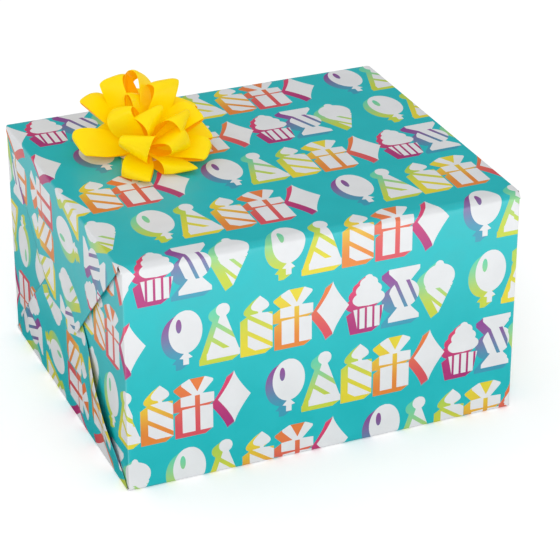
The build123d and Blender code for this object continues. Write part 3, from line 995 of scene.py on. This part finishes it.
def star_bow():
    """The ribbon loops, tier by tier from the bottom."""
    tiers = {
        ("bow_outer_ribbon", "bow_outer_loops"): [
            dict(bearing=267, pitch=2, length=47, level=2.2, slant=30, opening=3.2),
            dict(bearing=306, pitch=2, length=44, level=2.2, slant=26, opening=3.0, pinch=0.5),
            dict(bearing=338, pitch=8, length=46, level=2.2, slant=-8,
                 opening=3.0, pinch=-0.75, roll=14),
            dict(bearing=16, pitch=11, length=43, level=2.4, slant=-10,
                 pinch=-0.7, roll=14, opening=3.6),
            dict(bearing=56, pitch=9, length=41, level=2.3, slant=-10, pinch=-0.4),
            dict(bearing=96, pitch=10, length=42, level=2.3),
            dict(bearing=134, pitch=9, length=34, level=2.3),
            dict(bearing=166, pitch=10, length=34, level=2.4, roll=-10, slant=10),
            dict(bearing=198, pitch=12, length=44, level=2.2, slant=-16,
                 pinch=0.75, roll=-22, opening=3.4),
        ],
        ("bow_middle_ribbon", "bow_middle_loops"): [
            dict(bearing=264, pitch=27, length=39, level=3.2, roll=-14,
                 slant=-14, pinch=-0.5, opening=6.4),
            dict(bearing=316, pitch=22, length=38, level=3.2, roll=6,
                 opening=6, pinch=-0.4, slant=-10),
            dict(bearing=12, pitch=33, length=42, level=3.3, roll=22,
                 slant=-10, pinch=-0.7, opening=3.6),
            dict(bearing=42, pitch=31, length=42, level=3.3, pinch=-0.4, slant=-10, roll=10),
            dict(bearing=90, pitch=36, length=42, level=3.3),
            dict(bearing=132, pitch=38, length=38, level=3.3),
            dict(bearing=163, pitch=37, length=49, level=3.3, roll=6,
                 slant=6, pinch=0.7, opening=3.6),
        ],
        ("bow_inner_ribbon", "bow_inner_loops"): [
            dict(bearing=50, pitch=61, length=44, level=4.2, roll=76,
                 slant=-24, pinch=-0.4, opening=5.4),
            dict(bearing=142, pitch=58, length=48, level=4.2, roll=-72, slant=4, pinch=0.4),
            dict(bearing=214, pitch=60, length=34, level=4.2, roll=34,
                 opening=5.4, slant=10, pinch=0.3),
            dict(bearing=296, pitch=64, length=32, level=4.2, opening=5.2,
                 roll=24, slant=8, pinch=0.4),
            dict(bearing=342, pitch=40, length=37, level=4.4, roll=4,
                 opening=5, pinch=0.4, slant=8),
            dict(bearing=105, pitch=66, length=47, level=4.4, roll=60, opening=6.4, pinch=0.1),
        ],
        ("bow_centre_ribbon", "bow_centre_loop"): [
            dict(bearing=150, pitch=76, length=35, level=5.0, roll=20, slant=20),
        ],
    }
    for (name, node), petals in tiers.items():
        petal_tier(name, node, petals)


# --- Pieces whose CAD shape stays -------------------------------------------------------


def finish_cad_nodes():
    """Gives the carton, the tapes and the bow's hidden pieces their materials."""
    finishes = {
        "corrugated_board": corrugated_board(),
        "packing_tape": film_tape("packing_tape", rgb(200, 172, 124), rgb(184, 152, 104), 0.24),
        "sticky_tape": film_tape("sticky_tape", rgb(232, 230, 220), rgb(214, 210, 198), 0.34),
        "white_card": mottled("bow_card", rgb(240, 238, 230), rgb(226, 222, 212),
                              500.0, 0.72, 0.02 * MM),
        "foam": mottled("bow_foam", rgb(242, 242, 238), rgb(216, 216, 210),
                        1400.0, 0.85, 0.12 * MM),
        "staple_wire": mottled("staple_wire", rgb(205, 205, 208), rgb(176, 177, 182),
                               2400.0, 0.28, 0.01 * MM, metallic=1.0),
    }
    slots = {part["node"]: part["material_slot"] for part in frame["record"]["subparts"]}
    for node, piece in frame["nodes"].items():
        if slots[node] in finishes:
            piece.data.materials.clear()
            piece.data.materials.append(finishes[slots[node]])


# --- Stage ------------------------------------------------------------------------------


def lay_floor():
    """A plain pale floor. In reflections it is dark beside the box and bright further off,
    which puts the soft sheen on the upper part of the front."""
    bpy.ops.mesh.primitive_plane_add(size=12.0, location=(0, 0, -0.05 * MM))
    floor = bpy.context.object
    floor.name = "floor"
    material, graph, shader, place = new_material("floor")
    mirrored = graph.node("ShaderNodeLightPath").outputs["Is Glossy Ray"]
    parts = graph.node("ShaderNodeSeparateXYZ", {"Vector": place}).outputs
    front = graph.span(parts["Y"], -SIDE_Y - SHEEN_DEPTH, -SIDE_Y, 1.0, 0.0)
    front = graph.math("POWER", front, 2.0)
    front = graph.math("MULTIPLY_ADD", front, FRONT_SHEEN, LEAST_SHEEN)
    beside = graph.math("ABSOLUTE", parts["X"])
    ends = graph.span(beside, END_X, END_X + END_SHEEN_DEPTH, 0.0, END_SHEEN)
    sheen = graph.math("MAXIMUM", front, ends)
    tone = graph.span(graph.noise(place, 3.0, 2.0), 0.3, 0.7, 0.0, 1.0)
    white = graph.mix(tone, rgb(252, 252, 252), rgb(255, 255, 255))
    graph.put(graph.mix(mirrored, white, rgb(0, 0, 0)), shader.inputs["Base Color"])
    glow = graph.mix_values(mirrored, FLOOR_GLOW, sheen)
    graph.put(glow, shader.inputs["Emission Strength"])
    shader.inputs["Emission Color"].default_value = rgb(255, 255, 255)
    shader.inputs["Roughness"].default_value = 0.9
    floor.data.materials.append(material)


def light_sky():
    """An even white sky, darker in reflections."""
    world = bpy.data.worlds.new("studio")
    bpy.context.scene.world = world
    world.use_nodes = True
    graph = Graph(world.node_tree)
    background = world.node_tree.nodes["Background"]
    background.inputs["Color"].default_value = rgb(255, 255, 255)
    mirrored = graph.node("ShaderNodeLightPath").outputs["Is Glossy Ray"]
    graph.put(graph.mix_values(mirrored, SKY, SKY_MIRRORED), background.inputs["Strength"])


def add_softbox(name, place, size, power):
    """A rectangular lamp turned to the middle of the box, and left out of reflections."""
    light = bpy.data.lights.new(name, "AREA")
    light.shape = "RECTANGLE"
    light.size, light.size_y = size
    light.energy = power
    lamp = bpy.data.objects.new(name, light)
    lamp.location = place
    aim = Vector((0.0, 0.0, TOP_Z / 2)) - Vector(place)
    lamp.rotation_euler = aim.to_track_quat("-Z", "Y").to_euler()
    lamp.visible_glossy = False
    bpy.context.scene.collection.objects.link(lamp)


def place_camera():
    """The camera, to the left of the front and above the box."""
    azimuth, elevation = math.radians(CAMERA_AZIMUTH), math.radians(CAMERA_ELEVATION)
    back = Vector((
        math.sin(azimuth) * math.cos(elevation),
        -math.cos(azimuth) * math.cos(elevation),
        math.sin(elevation),
    ))
    camera = bpy.data.objects.new("camera", bpy.data.cameras.new("camera"))
    camera.data.lens = LENS
    camera.data.sensor_width = SENSOR
    camera.location = CAMERA_PLACE
    camera.rotation_euler = (-back).to_track_quat("-Z", "Y").to_euler()
    bpy.context.scene.collection.objects.link(camera)
    bpy.context.scene.camera = camera


wrap_paper()
star_bow()
finish_cad_nodes()
lay_floor()
light_sky()
add_softbox("key_light", (-0.5, -1.65, 1.2), (1.0, 0.8), 9.2)
add_softbox("top_light", (-0.4, 0.7, 1.6), (1.2, 0.9), 2.6)
place_camera()
bpy.context.scene.view_settings.view_transform = "Standard"
